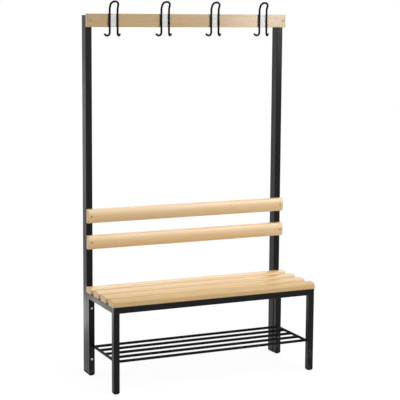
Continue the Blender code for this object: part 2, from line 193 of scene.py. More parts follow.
# Support points: how far they stand on the flat beside a round edge
CORNER_SUPPORT = 0.6 * MM
SLAT_SUPPORT = 1.0 * MM
FLAT_SUPPORT = 0.3 * MM

# Fewest rows along a board, and the spacing of rows along a board, a plate and a wire
FEWEST_ROWS = 3
BOARD_SPACING = 25 * MM
PLATE_SPACING = 6 * MM
WIRE_SPACING = 2.2 * MM

# Rods of the rack and hooks on the rail
ROD_COUNT = 5
HOOK_COUNT = 4

# Steps of arcs and straights, points of the wire's bends, rows and columns of round pieces
CORNER_STEPS = 8
SLAT_EDGE_STEPS = 9
SLAT_OUTER_CELLS = 6
FLAT_OUTER_CELLS = 4
EASE_STEPS = 5
HEAD_STEPS = 8
RECESS_STEPS = 4
TIP_STEPS = 7
TUBE_STEPS = 12
ROD_STEPS = 14
FILLET_STEPS = 8
BEAD_CORNER_STEPS = 9
LOOP_POINTS = 40
BEND_POINTS = 12
WIRE_COLUMNS = 24
ROD_COLUMNS = 28
BEAD_COLUMNS = 14
BOLT_COLUMNS = 48
FLOOR_ROWS = 24
FLOOR_COLUMNS = 64


# ---------------------------------------------------------------- meshes


def grid_faces(rows, columns, closed_rows=False):
    """Quads of a grid whose columns close, and its rows too if asked.

    Each quad joins two neighbours in a row to the same two in the next row.
    """
    i = np.arange(rows if closed_rows else rows - 1)[:, None]
    j = np.arange(columns)[None, :]
    after, below = (j + 1) % columns, (i + 1) % rows
    corners = (i * columns + j, i * columns + after, below * columns + after, below * columns + j)
    return np.stack(corners, -1)


def joined(points):
    """Points of a grid, and the quads that join them."""
    return points, grid_faces(*points.shape[:2])


def make_mesh(name, points, faces, values):
    """Mesh of a grid: doubles merged so that seams and poles close, faces outward, smooth but for folds."""
    mesh = bpy.data.meshes.new(name)
    mesh.from_pydata(points.reshape(-1, 3).tolist(), [], faces.reshape(-1, 4).tolist())
    for label, value in values.items():
        layer = mesh.attributes.new(label, "FLOAT", "POINT")
        spread = np.broadcast_to(value, points.shape[:-1]).astype(np.float32)
        layer.data.foreach_set("value", spread.ravel())
    bm = bmesh.new()
    bm.from_mesh(mesh)
    bmesh.ops.remove_doubles(bm, verts=bm.verts, dist=SAME_POINT)
    bmesh.ops.dissolve_degenerate(bm, edges=bm.edges, dist=SAME_POINT)
    bmesh.ops.recalc_face_normals(bm, faces=bm.faces)
    bm.to_mesh(mesh)
    bm.free()
    mesh.shade_smooth()
    mesh.set_sharp_from_angle(angle=SHARP_FOLD)
    return mesh


def add_piece(name, points, faces, material, slot, nodes=(), **values):
    """Piece of the bench at the origin: rides on the root, stands for frame nodes, takes a finish; its slot is
    not used.
    """
    piece = bpy.data.objects.new(name, make_mesh(name, points, faces, values))
    piece.data.materials.append(material)
    bpy.context.scene.collection.objects.link(piece)
    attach(piece, "root")
    if nodes:
        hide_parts(*nodes)


def placed(local, origin, across, up, along):
    """Local points set in the frame: origin + a across + b up + c along."""
    a, b, c = local[..., :1], local[..., 1:2], local[..., 2:]
    return np.asarray(origin) + a * across + b * up + c * along


def box(name):
    """Lowest corner, highest corner and middle of a frame node as arrays."""
    low, high = (np.array(corner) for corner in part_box(name))
    return low, high, (low + high) / 2


def lifted(flat, c):
    """Rows of flat points (a, b), each row at its own c."""
    return np.concatenate([flat, np.broadcast_to(c[:, None, None], (*flat.shape[:2], 1))], -1)


def rings(r, t, c):
    """Rows of points about local c: (r cos t, r sin t, c)."""
    return np.stack(np.broadcast_arrays(r * np.cos(t), r * np.sin(t), c), -1)


def turns(columns):
    """Even angles of a closed ring, from 0 up."""
    return np.arange(columns) * TAU / columns


def with_poles(rows):
    """Grid with its first and last rows drawn in to their middles, which closes both ends."""
    first, last = (np.broadcast_to(row.mean(0), row.shape) for row in (rows[0], rows[-1]))
    return np.concatenate([first[None], rows, last[None]])


# ---------------------------------------------------------------- sections


def arc(centre, radius, start, end, steps):
    """Arc in a plane: centre + radius (cos t, sin t), with its outward normals (cos t, sin t)."""
    t = np.linspace(start, end, steps + 1)
    normals = np.stack([np.cos(t), np.sin(t)], -1)
    return np.asarray(centre) + radius * normals, normals


def flat_run(places, normal):
    """Points on a flat part of an outline, all with one normal."""
    places = np.array(places)
    return places, np.broadcast_to(normal, places.shape)


def rounded_rectangle(width, depth, radius):
    """Rectangles with round corners, one for each row of width, depth and radius.

    Each corner is an arc about a centre one radius in from both sides, with a support point on the flat at
    either end of it. Also gives how near each point is to the middle of a corner, as sin 2t over the arc.
    """
    sizes = np.broadcast_arrays(width, depth, radius)
    width, depth, radius = (np.atleast_1d(size)[:, None] for size in sizes)
    t = np.concatenate([[0], np.linspace(0, QUARTER, CORNER_STEPS + 1), [QUARTER]])
    slide = np.concatenate([[-CORNER_SUPPORT], np.zeros(CORNER_STEPS + 1), [CORNER_SUPPORT]])
    angle = (np.arange(4)[:, None] * QUARTER + t).ravel()
    slide, edge = np.tile(slide, 4), np.tile(np.sin(2 * t), 4)
    sign = np.repeat([(1, 1), (-1, 1), (-1, -1), (1, -1)], len(t), axis=0)
    a = sign[:, 0] * (width / 2 - radius) + radius * np.cos(angle) - slide * np.sin(angle)
    b = sign[:, 1] * (depth / 2 - radius) + radius * np.sin(angle) + slide * np.cos(angle)
    return np.stack([a, b], -1), edge


def patch_places(patch):
    """Edges of the cells across a patch, evenly from patch to -patch."""
    return np.linspace(patch, -patch, PATCH_CELLS + 1)


def spaced_about(half, patch, outer):
    """Distances from half to -half: the cells of the middle patch, and so many even cells on either side."""
    side = np.linspace(half, patch, outer + 1)[:-1]
    return np.concatenate([side, patch_places(patch), -side[::-1]])


def outline(runs, face, patch, first):
    """Section of a board from the runs of its outline, with its face function and its patch.

    First is the number of the outline's point at which the patch begins.
    """
    points, normals = (np.concatenate(part) for part in zip(*runs))
    return {"points": points, "normals": normals, "face": face, "patch": patch, "first": first}


def slat_section(width, thickness, patch):
    """Closed outline of a slat with its back at height 0, its normals, and its face as a function.

    The crown is a circle of radius (h h + c c) / 2 c through the middle of the face, h half the width and c
    the crown's rise. Round edges touch it from inside, and small arcs ease the back. The face function gives
    the point and normal at a distance along the crown.
    """
    half = width / 2
    radius = (half**2 + SLAT_CROWN**2) / (2 * SLAT_CROWN)
    centre, inset = thickness - radius, half - SLAT_EDGE
    edge_b = centre + math.sqrt((radius - SLAT_EDGE) ** 2 - inset**2)
    lean = math.atan2(edge_b - centre, inset)
    ease = SLAT_BACK_EDGE
    back, side_b = half - ease, ease + SLAT_SUPPORT

    def face(distance):
        """Crown at a distance from its middle: (0, centre) + radius (sin t, cos t), t = distance / radius."""
        t = np.asarray(distance) / radius
        normal = np.stack([np.sin(t), np.cos(t)], -1)
        return np.array([0, centre]) + radius * normal, normal

    crown = spaced_about(radius * (QUARTER - lean), patch, SLAT_OUTER_CELLS)
    runs = [
        arc((inset, edge_b), SLAT_EDGE, 0, lean, SLAT_EDGE_STEPS),
        face(crown[1:-1]),
        arc((-inset, edge_b), SLAT_EDGE, math.pi - lean, math.pi, SLAT_EDGE_STEPS),
        flat_run([(-half, side_b)], (-1.0, 0.0)),
        arc((-back, ease), ease, math.pi, 3 * QUARTER, EASE_STEPS),
        flat_run([(-back + SLAT_SUPPORT, 0.0), (back - SLAT_SUPPORT, 0.0)], (0.0, -1.0)),
        arc((back, ease), ease, 3 * QUARTER, TAU, EASE_STEPS),
        flat_run([(half, side_b)], (1.0, 0.0)),
    ]
    return outline(runs, face, patch, first=(SLAT_EDGE_STEPS + 1) + (SLAT_OUTER_CELLS - 1))


def flat_section(width, thickness, edge, patch):
    """Closed outline of a flat board or plate with its back at height 0 and eased edges, and its face function.

    The face lies at the thickness: its point at a distance is (distance, thickness), its normal points up.
    """
    half, deep = width / 2 - edge, thickness - edge

    def face(distance):
        """Flat at a distance from its middle: (distance, thickness), with a normal straight up."""
        distance = np.asarray(distance)
        points = np.stack([distance, np.full_like(distance, thickness)], -1)
        return points, np.broadcast_to([0.0, 1.0], points.shape)

    runs = [
        arc((half, deep), edge, 0, QUARTER, EASE_STEPS),
        face(spaced_about(half - FLAT_SUPPORT, patch, FLAT_OUTER_CELLS)),
        arc((-half, deep), edge, QUARTER, math.pi, EASE_STEPS),
        arc((-half, edge), edge, math.pi, 3 * QUARTER, EASE_STEPS),
        arc((half, edge), edge, 3 * QUARTER, TAU, EASE_STEPS),
    ]
    return outline(runs, face, patch, first=(EASE_STEPS + 1) + FLAT_OUTER_CELLS)


# ---------------------------------------------------------------- boards and plates


def board_stations(half, ease, drilled, patch, spacing):
    """Places along a board, and how far its outline draws in there.

    The ends are eased by a quarter round: drawn in by ease (1 - cos t) at ease (1 - sin t) from the end.
    Between them lie even steps, and the rows of a patch of cells about each drilled place.
    """
    t = np.linspace(0, QUARTER, EASE_STEPS + 1)
    end, drawn = half - ease * (1 - np.sin(t)), ease * (1 - np.cos(t))
    even = np.linspace(-half + ease, half - ease, max(FEWEST_ROWS, round(2 * half / spacing)))[1:-1]
    for place in drilled:
        even = even[abs(even - place) > PATCH_CLEAR * patch]
    middle = np.sort(np.concatenate([even, *(place - patch_places(patch) for place in drilled)]))
    stations = np.concatenate([-end[::-1], middle, end])
    insets = np.concatenate([drawn[::-1], np.zeros(len(middle)), drawn])
    return stations, insets


def recess_rings(section, stations, row, place, mouth):
    """Rings from the square border of a patch to the round mouth of a hole and down to its floor.

    Each border point has an angle about the hole, and the rings move it evenly to the point of the mouth at
    that angle. Further rings follow the mouth's radius and depth. Depth is measured against the face's normal.
    """
    n = np.arange(PATCH_CELLS)
    i = np.concatenate([0 * n, n, 0 * n + PATCH_CELLS, PATCH_CELLS - n])
    j = np.concatenate([n, 0 * n + PATCH_CELLS, PATCH_CELLS - n, 0 * n])
    border = np.stack([stations[row + i] - place, patch_places(section["patch"])[j]], -1)
    round_ = border / np.linalg.norm(border, axis=-1, keepdims=True)
    mix = np.linspace(0, 1, RECESS_STEPS + 1)[:, None, None]
    radii, depths = np.array(mouth).T
    outer = (1 - mix) * border + mix * radii[0] * round_
    flat = np.concatenate([outer, radii[1:, None, None] * round_])
    depth = np.concatenate([np.zeros(len(mix)), depths[1:]])[:, None, None]
    point, normal = section["face"](flat[..., 1])
    return np.concatenate([point - depth * normal, flat[..., :1] + place], -1)


def board(section, length, ease, spacing, drilled=(), mouth=()):
    """Outline carried along a straight length, drawn in along its normals at the eased ends, with screw holes.

    Gives local points (across, up, along) and the quads that join them.
    """
    patch, first = section["patch"], section["first"]
    stations, insets = board_stations(length / 2, ease, drilled, patch, spacing)
    flat = section["points"] - insets[:, None, None] * section["normals"]
    points = with_poles(lifted(flat, stations))
    faces = grid_faces(*points.shape[:2])
    keep = np.ones(faces.shape[:2], bool)
    all_points, all_faces = [points.reshape(-1, 3)], []
    for place in drilled:
        row = int(np.argmin(abs(stations - (place - patch))))
        keep[row + 1 : row + 1 + PATCH_CELLS, first : first + PATCH_CELLS] = False
        recess = recess_rings(section, stations, row, place, mouth)
        start = sum(len(part) for part in all_points)
        all_points.append(recess.reshape(-1, 3))
        all_faces.append(grid_faces(*recess.shape[:2]).reshape(-1, 4) + start)
    return np.concatenate(all_points), np.concatenate([faces[keep], *all_faces])


# ---------------------------------------------------------------- tubes, plugs, rods and wire


def tube(width, depth, length, rim):
    """Hollow rectangular tube along local c: outer wall up, over the rim, inner wall down, closed in a ring.

    The rim draws both walls towards each other by its own size where it meets the end. Also gives the edge
    value of the outer corners, for a thin coat and a painted highlight there, which is 0 inside.
    """
    half = length / 2
    outer_c = np.concatenate([[-half], np.linspace(-half + rim, half - rim, TUBE_STEPS + 1), [half]])
    inner_c = np.array([half, half - rim, -half + rim, -half])
    drawn = np.zeros(len(outer_c))
    drawn[[0, -1]] = rim
    spread = np.array([rim, 0, 0, rim])
    inner = 2 * (TUBE_WALL - spread)
    widths = np.concatenate([width - 2 * drawn, width - inner])
    depths = np.concatenate([depth - 2 * drawn, depth - inner])
    radii = np.concatenate([TUBE_CORNER - drawn, TUBE_INNER_CORNER + spread])
    flat, edge = rounded_rectangle(widths, depths, radii)
    points = lifted(flat, np.concatenate([outer_c, inner_c]))
    outside = np.concatenate([np.ones(len(outer_c)), np.zeros(len(inner_c))])
    return points, grid_faces(*points.shape[:2], closed_rows=True), edge * outside[:, None]


def tube_end(width, depth, height, rounding, insert):
    """Moulded tube end along local c from its rounded outer face at 0: rounded rectangles of changing size.

    The head draws in by rounding (1 - sin t) while it rises by rounding (1 - cos t); above its lip a smaller
    insert stands in the tube. Corners have the tube's outer radius on the head and its inner one on the insert.
    """
    t = np.linspace(0, QUARTER, HEAD_STEPS + 1)
    wall, tip = TUBE_WALL + GAP, height + insert
    head_c, head_drawn = rounding * (1 - np.cos(t)), rounding * (1 - np.sin(t))
    c = np.concatenate([head_c, [height - HEAD_LIP, height], [height, tip - INSERT_TAPER, tip]])
    drawn = np.concatenate([head_drawn, [0, HEAD_LIP], [wall, wall, wall + INSERT_POINT]])
    radius = np.concatenate([np.full(len(t) + 2, TUBE_CORNER), np.full(3, TUBE_INNER_CORNER)])
    flat, _ = rounded_rectangle(width - 2 * drawn, depth - 2 * drawn, radius)
    return joined(with_poles(lifted(flat, c)))


def swept(path, radius, aside, columns):
    """Round section carried along a path: path + radius (cos t n + sin t b).

    The tangent T is the path's difference; n is the aside direction less its part along T, and b = T x n. The
    radius changes along the path; where it is 0 the end is closed.
    """
    tangent = np.gradient(path, axis=0)
    tangent /= np.linalg.norm(tangent, axis=1, keepdims=True)
    n = aside - (tangent @ aside)[:, None] * tangent
    n /= np.linalg.norm(n, axis=1, keepdims=True)
    b = np.cross(tangent, n)
    t = turns(columns)
    ring = np.cos(t)[None, :, None] * n[:, None] + np.sin(t)[None, :, None] * b[:, None]
    return path[:, None] + radius[:, None, None] * ring


def hook_path():
    """Centre line of a hook about the middle of the rail's face: one half of it, then that half mirrored.

    Loop: half a circle in a plane tilted forward, a straight neck, and a bend that brings the wire upright.
    Leg: straight down the rail. End: an arc below the rail in an upright plane splayed outward and back.
    """
    leg = HOOK_SPREAD / 2
    rail_half = RAIL_HEIGHT / 2
    bend_z = rail_half + LOOP_STEM
    t = np.linspace(QUARTER, 0, LOOP_POINTS)
    rise = LOOP_NECK + leg * np.sin(t)
    y = -LOOP_BEND * (1 - math.cos(LOOP_TILT)) - rise * math.sin(LOOP_TILT)
    z = bend_z + LOOP_BEND * math.sin(LOOP_TILT) + rise * math.cos(LOOP_TILT)
    loop = np.stack([leg * np.cos(t), y, z], -1)
    t = np.linspace(LOOP_TILT, 0, BEND_POINTS)
    y, z = -LOOP_BEND * (1 - np.cos(t)), bend_z + LOOP_BEND * np.sin(t)
    bend = np.stack([np.full(BEND_POINTS, leg), y, z], -1)
    t = np.linspace(0, END_SWEEP, LOOP_POINTS)
    reach = END_BEND * (1 - np.cos(t))
    z = -rail_half - LEG_DROP - END_BEND * np.sin(t)
    end = np.stack([leg + reach * math.cos(END_SPLAY), reach * math.sin(END_SPLAY), z], -1)
    right = np.concatenate([loop, bend, end])
    return np.concatenate([right[:0:-1] * (-1, 1, 1), right])


def run_length(path):
    """Length along a path from its start to each point: the sum of the steps before it."""
    return np.concatenate([[0], np.cumsum(np.linalg.norm(np.diff(path, axis=0), axis=1))])


def spaced(path, step, tip):
    """Path taken again at even steps of its own length, and the distance of each point to the nearer end.

    Over a tip the steps lie closer, at tip (1 - cos t).
    """
    length = run_length(path)
    total = length[-1]
    start = tip * (1 - np.cos(np.linspace(0, QUARTER, TIP_STEPS + 1)))
    middle = np.linspace(tip, total - tip, round(total / step))[1:-1]
    s = np.concatenate([start, middle, total - start[::-1]])
    points = np.stack([np.interp(s, length, axis) for axis in path.T], -1)
    return points, np.minimum(s, total - s)


def wire_hook():
    """Bent wire about the rail's middle, its radius r sqrt(1 - (1 - d / tip)^2) over each tip of length tip.

    The dip that coats it makes r larger than the wire by the fit's gap, so that it rests on the rail.
    """
    path, distance = spaced(hook_path(), WIRE_SPACING, WIRE_TIP)
    inside = np.clip(distance / WIRE_TIP, 0, 1)
    radius = (WIRE / 2 + DIP) * np.sqrt(1 - (1 - inside) ** 2)
    return joined(swept(path, radius, Y, WIRE_COLUMNS))


def rod_rows(half):
    """Distances along a rod from end to end, even in the middle and closer over the weld fillets.

    Over a fillet they grow as the power 1.5 of an even step.
    """
    near = ROD_FILLET_LENGTH * np.linspace(0, 1, FILLET_STEPS + 1) ** FILLET_ROW_GROWTH
    reach = half - ROD_FILLET_LENGTH
    middle = np.linspace(-reach, reach, ROD_STEPS + 1)[1:-1]
    return np.concatenate([-half + near, middle, half - near[::-1]])[:, None]


def fillet(distance):
    """Height of a weld fillet at a distance from the joint: its size times (1 - d / length) squared."""
    return ROD_FILLET * np.clip(1 - distance / ROD_FILLET_LENGTH, 0, 1) ** 2


def rack_rod(half, radius, bar_radius):
    """Rod along local c between two side bars, coped on to them, with a weld fillet on its two sides.

    Rows near an end follow the bar: they move out by R - sqrt(R R - b b), where b is the height on the rod. The
    fillet is strongest level with the rod's middle, as |cos t| to the power 1.5.
    """
    c, t = rod_rows(half), turns(ROD_COLUMNS)
    distance = half - abs(c)
    r = radius + fillet(distance) * abs(np.cos(t)) ** ROD_FILLET_FADE
    highest = COPE_HIGHEST * bar_radius
    height = np.clip(r * np.sin(t), -highest, highest)
    cope = bar_radius - np.sqrt(bar_radius**2 - height**2)
    near = np.clip(1 - distance / (2 * ROD_FILLET_LENGTH), 0, 1)
    return joined(with_poles(rings(r, t, c + np.sign(c) * near * cope)))


def rack_bar(half, radius, outward):
    """Side bar along local c between two legs, with a weld fillet round each end but for its inner side.

    The fillet's share is 1/4 + 3/4 cos of the angle from the outward side + 1/2 |sin| of it, kept in 0 to 1.
    """
    c, t = rod_rows(half), turns(ROD_COLUMNS)
    around = BAR_FILLET_OUTWARD * outward * np.cos(t) + BAR_FILLET_SIDES * abs(np.sin(t))
    share = np.clip(BAR_FILLET_EVEN + around, 0, 1)
    return joined(with_poles(rings(radius + fillet(half - abs(c)) * share, t, c)))


def weld_bead(size):
    """Weld bead round three sides of a square tube's end: down the inner side, under it and up the flush side.

    A round section follows the tube's outline; its radius ripples as 1 + 0.1 sin(2 pi s / pitch) along the
    bead and runs out to 0 at both ends. On the flush side the path lies deeper, so that the bead only fills the
    joint.
    """
    half = size / 2
    inner, flush, top = half - BEAD_DEEP, half - BEAD_FLUSH_DEEP, half - BEAD_BELOW_TOP
    t = np.linspace(0, QUARTER, BEAD_CORNER_STEPS + 1)
    less_cos, less_sin = TUBE_CORNER * (1 - np.cos(t)), TUBE_CORNER * (1 - np.sin(t))
    inner_corner = np.stack([inner - less_cos, -inner + less_sin], -1)
    flush_corner = np.stack([-flush + less_sin, -inner + less_cos], -1)
    flat = np.concatenate([[(inner, top)], inner_corner, flush_corner, [(-flush, top)]])
    path, distance = spaced(np.column_stack([flat, np.zeros(len(flat))]), BEAD_STEP, BEAD_TIP)
    run_out = np.sqrt(np.clip(distance / BEAD_RUN_OUT, 0, 1))
    ripple = 1 + BEAD_RIPPLE_SHARE * np.sin(TAU * run_length(path) / BEAD_RIPPLE)
    return joined(swept(path, BEAD * run_out * ripple, Z, BEAD_COLUMNS))


# ---------------------------------------------------------------- screws and bolts


def cross_head(head, shank, length, rise, arm, deep, pan=False):
    """Screw along local c with its rim at 0: a domed head with a cross recess, a taper or pan, and a shank.

    Head: c = rise (1 - (r / R)^2), less the recess. The recess has four arms of even width: at radius r an arm
    spans the angles +-asin(arm / 2 r), and the columns of the grid follow its edges. Its depth is
    deep (1 - (r / reach)^3), reach being 0.62 R, and within 0.74 of an arm's width it goes all round.
    """
    radius, reach = head / 2, RECESS_REACH * head / 2
    r = np.concatenate([np.multiply(RECESS_RINGS, reach), DOME_RINGS * radius])[:, None]
    spread = np.arcsin(np.clip(arm / 2 / r, 0, math.sin(ARM_WIDEST)))
    in_arm, on_land = np.array([-ARM_FOOT, 0, ARM_FOOT]), np.array(LAND_COLUMNS)
    beside = ARM_BRINK * spread
    one = np.concatenate([spread * in_arm, beside + on_land * (QUARTER - 2 * beside)], 1)
    t = np.concatenate([one + quarter * QUARTER for quarter in range(4)], 1)
    share = np.tile([1] * len(in_arm) + [0] * len(on_land), 4)
    sunk = np.where(r < arm * RECESS_CENTRE, 1, share) * deep * np.clip(1 - (r / reach) ** 3, 0, 1)
    top = rings(r, t, rise * (1 - (r / radius) ** 2) - sunk)
    neck = shank / head
    if pan:
        under = [(1.0, -PAN_SEAT), (neck, -PAN_UNDERSIDE)]
    else:
        under = [(neck, -HEAD_RIM - (head - shank) / 2)]
    lower = np.array([(1.0, 0.0), (1.0, -HEAD_RIM), *under, (neck, -length), (0.0, -length)])
    body = rings(radius * lower[:, :1], t[-1], lower[:, 1:])
    return joined(with_poles(np.concatenate([top, body])))


def socket_bolt():
    """Dome-headed bolt along local c with a six-sided socket, its head resting at 0.

    Dome: an ellipse of the head's radius and rise. Socket: rings shaped as a hexagon, a / cos(angle from the
    middle of its flat), which go straight down and then in to a pointed floor; between socket and rim the rings
    turn evenly from the hexagon to the circle.
    """
    t = turns(BOLT_COLUMNS)
    radius, sixth = BOLT_HEAD / 2, math.pi / 3
    hexagon = BOLT_SOCKET / 2 / np.cos((t + sixth / 2) % sixth - sixth / 2)
    mouth = SOCKET_MOUTH_SHARE * hexagon
    floor = BOLT_RISE - SOCKET_DEPTH

    def dome(r):
        """Height of the dome at radius r: rise sqrt(1 - (r / R)^2)."""
        return BOLT_RISE * np.sqrt(np.clip(1 - (r / radius) ** 2, 0, 1))

    rows = [
        (INNER_RING * hexagon, floor - SOCKET_POINT),
        (SOCKET_FLOOR_SHARE * hexagon, floor),
        (hexagon, floor + SOCKET_EASE),
        (hexagon, dome(hexagon) - SOCKET_LIP),
        (mouth, dome(mouth)),
    ]
    for mix in BOLT_DOME_RINGS:
        r = (1 - mix) * mouth + mix * radius
        rows.append((r, dome(r)))
    rows += [(BOLT_SHANK / 2, 0.0), (BOLT_SHANK / 2, -BOLT_LENGTH)]
    r, c = (np.array([value + 0 * t for value in part]) for part in zip(*rows))
    return joined(with_poles(rings(r, t, c)))


# ---------------------------------------------------------------- materials


def node(tree, kind, inputs=None, **settings):
    """Shader node with its settings, and its inputs set or linked."""
    made = tree.nodes.new("ShaderNode" + kind)
    for key, value in settings.items():
        setattr(made, key, value)
    for key, value in (inputs or {}).items():
        if isinstance(value, bpy.types.NodeSocket):
            tree.links.new(value, made.inputs[key])
        else:
            made.inputs[key].default_value = value
    return made


def reckoned(tree, operation, a, b=0.0, clamp=False):
    """Result of one operation on values or sockets."""
    return node(tree, "Math", {0: a, 1: b}, operation=operation, use_clamp=clamp).outputs[0]


def times(tree, a, b):
    """Product of two values or sockets."""
    return reckoned(tree, "MULTIPLY", a, b)


def plus(tree, a, b, clamp=False):
    """Sum of two values or sockets."""
    return reckoned(tree, "ADD", a, b, clamp)


def ramp(tree, value, low, high, to_low=0.0, to_high=1.0):
    """Smooth step of a value from one range to another."""
    inputs = {"Value": value, "From Min": low, "From Max": high, "To Min": to_low, "To Max": to_high}
    return node(tree, "MapRange", inputs, interpolation_type="SMOOTHSTEP").outputs["Result"]


def stretched(tree, vector, scale):
    """Coordinates with each axis at its own scale, for grain that runs one way."""
    return node(tree, "Mapping", {"Vector": vector, "Scale": scale}, vector_type="POINT").outputs["Vector"]


def noise(tree, vector, scale, detail=2.0, rough=0.5):
    """Noise value over coordinates."""
    inputs = {"Vector": vector, "Scale": scale, "Detail": detail, "Roughness": rough}
    return node(tree, "TexNoise", inputs).outputs["Fac"]


def grain(tree, vector, scales, detail=2.0, rough=0.5):
    """Noise value over stretched coordinates."""
    return noise(tree, stretched(tree, vector, scales), 1.0, detail, rough)


def mixed(tree, share, a, b, blend="MIX"):
    """Colour b laid over colour a by a share."""
    return node(tree, "Mix", {0: share, 6: a, 7: b}, data_type="RGBA", blend_type=blend).outputs[2]


def attribute(tree, name):
    """Value that a piece's mesh carries at its points."""
    return node(tree, "Attribute", attribute_name=name).outputs["Fac"]


def object_place(tree):
    """Object coordinates, which are the frame's own, since every piece sits at the origin."""
    return node(tree, "TexCoord").outputs["Object"]


def facing(tree, axis):
    """Part of the surface's normal along an axis."""
    normal = node(tree, "NewGeometry").outputs["Normal"]
    return node(tree, "SeparateXYZ", {0: normal}).outputs[axis]


def new_group(name, inputs, outputs):
    """Shader node group with named inputs and their first values, and named outputs."""
    tree = bpy.data.node_groups.new(name, "ShaderNodeTree")
    for label, (kind, value) in inputs.items():
        socket = tree.interface.new_socket(label, in_out="INPUT", socket_type="NodeSocket" + kind)
        socket.default_value = value
    for label, kind in outputs.items():
        tree.interface.new_socket(label, in_out="OUTPUT", socket_type="NodeSocket" + kind)
    return tree, tree.nodes.new("NodeGroupInput").outputs, tree.nodes.new("NodeGroupOutput").inputs


def put_out(tree, out, **results):
    """Results of a group, each linked to the output of its name."""
    for label, result in results.items():
        tree.links.new(result, out[label])


def srgb(red, green, blue):
    """Linear colour of one written in 0 to 255: c / 12.92 where dark, else ((c + 0.055) / 1.055) ^ 2.4."""
    c = np.array([red, green, blue]) / 255
    linear = np.where(c <= 0.04045, c / 12.92, ((c + 0.055) / 1.055) ** 2.4)
    return (*linear.tolist(), 1.0)


FINISH_OUTPUTS = {"Colour": "Color", "Roughness": "Float", "Height": "Float"}

# Beech: shift of the figure from board to board, rings in radians per metre, scales along and across the board
BOARD_SHIFT = (0.731, 0.0613, 0.0971)
ACROSS_BOARD = (0, 1, 1)
RING_TURNS = 2100.0
RING_WANDER = 16.0
WANDER_GRAIN = (1.3, 14, 14)
STREAK_GRAIN = (4, 210, 210)
FINE_GRAIN = (22, 1500, 1500)
CLOUD_GRAIN = (2.2, 11, 11)
FLECK_GRAIN = (95, 820, 820)
PORE_SCALE = 1900.0

# Ramps of the beech: from low, from high, and to low, to high where that is not 0 to 1
RING_EDGE = (-0.4, 1.0)
RING_CLOUD = (0.3, 0.7, 0.15, 0.7)
STREAK_SHARE = (0.35, 0.75, 0.0, 0.55)
FLECK_EDGE = (0.24, 0.08)
FLECK_SHARE = (0.35, 0.6, 0.1, 0.38)
SAWN_FACING = (0.55, 0.9)
SAWN_AND_LIT_SHARE = (0.3, 0.7, 0.9, 0.6)
WOOD_ROUGHNESS = (0.3, 0.7, 0.36, 0.46)
LATE_WOOD_SHARE = 0.55
SAWN_ROUGHNESS = 0.22
FINE_RELIEF, FLECK_RELIEF, RING_RELIEF = 0.6, 0.5, 0.25


def wood_grain_group():
    """Beech: growth rings about a far pith, streaks along the board, short dark flecks, pale bare sawn ends.

    Rings are a smooth step of the sine of the distance from the pith, which wanders with a slow noise. Flecks
    are the middles of stretched cells. Ends are where the normal lies along the board; their pale colour is
    bare wood and partly painted light on the end faces. Each board's number shifts its figure, and its tone and
    lacquer are its own; the tone darkens it towards the heart colour, which on the hook rail is painted shade.
    """
    inputs = {
        "Pale": ("Color", srgb(238, 201, 141)),
        "Ring": ("Color", srgb(223, 178, 115)),
        "Fleck": ("Color", srgb(196, 146, 88)),
        "Heart_and_shade": ("Color", srgb(199, 196, 188)),
        "Sawn_and_lit": ("Color", srgb(240, 209, 180)),
    }
    tree, given, out = new_group("wood_grain", inputs, FINISH_OUTPUTS | {"Lacquer": "Float"})
    shift_inputs = {0: BOARD_SHIFT, "Scale": attribute(tree, "board")}
    shift = node(tree, "VectorMath", shift_inputs, operation="SCALE").outputs[0]
    here = node(tree, "VectorMath", {0: object_place(tree), 1: shift}, operation="ADD").outputs[0]
    from_pith = stretched(tree, here, ACROSS_BOARD)
    distance = node(tree, "VectorMath", {0: from_pith}, operation="LENGTH").outputs["Value"]
    wander = times(tree, grain(tree, here, WANDER_GRAIN), RING_WANDER)
    wave = reckoned(tree, "SINE", plus(tree, times(tree, distance, RING_TURNS), wander))
    ring = ramp(tree, wave, *RING_EDGE)
    streak = grain(tree, here, STREAK_GRAIN, detail=3.0, rough=0.6)
    fine = grain(tree, here, FINE_GRAIN, rough=0.6)
    cloud = grain(tree, here, CLOUD_GRAIN)
    cell_inputs = {"Vector": stretched(tree, here, FLECK_GRAIN), "Scale": 1.0, "Randomness": 1.0}
    cells = node(tree, "TexVoronoi", cell_inputs)
    fleck = ramp(tree, cells.outputs["Distance"], *FLECK_EDGE)
    late = times(tree, times(tree, ring, ramp(tree, cloud, *RING_CLOUD)), LATE_WOOD_SHARE)
    late = plus(tree, late, ramp(tree, streak, *STREAK_SHARE), clamp=True)
    colour = mixed(tree, late, given["Pale"], given["Ring"])
    colour = mixed(tree, times(tree, fleck, ramp(tree, fine, *FLECK_SHARE)), colour, given["Fleck"])
    # Tone darkens a board towards the heart colour; on the hook rail this is painted shade.
    colour = mixed(tree, attribute(tree, "tone"), colour, given["Heart_and_shade"], "MULTIPLY")
    sawn = ramp(tree, reckoned(tree, "ABSOLUTE", facing(tree, "X")), *SAWN_FACING)
    pore = noise(tree, here, PORE_SCALE, detail=1.0)
    # Painted light in part: bare ends take a pale colour, which also lifts the end faces as if they were lit.
    sawn_and_lit_share = times(tree, sawn, ramp(tree, pore, *SAWN_AND_LIT_SHARE))
    relief = reckoned(tree, "SUBTRACT", times(tree, fine, FINE_RELIEF), times(tree, fleck, FLECK_RELIEF))
    put_out(
        tree,
        out,
        Colour=mixed(tree, sawn_and_lit_share, colour, given["Sawn_and_lit"]),
        Roughness=plus(tree, ramp(tree, streak, *WOOD_ROUGHNESS), times(tree, sawn, SAWN_ROUGHNESS)),
        Height=plus(tree, relief, times(tree, ring, RING_RELIEF)),
        Lacquer=times(tree, reckoned(tree, "SUBTRACT", 1.0, sawn), attribute(tree, "lacquer")),
    )
    return tree


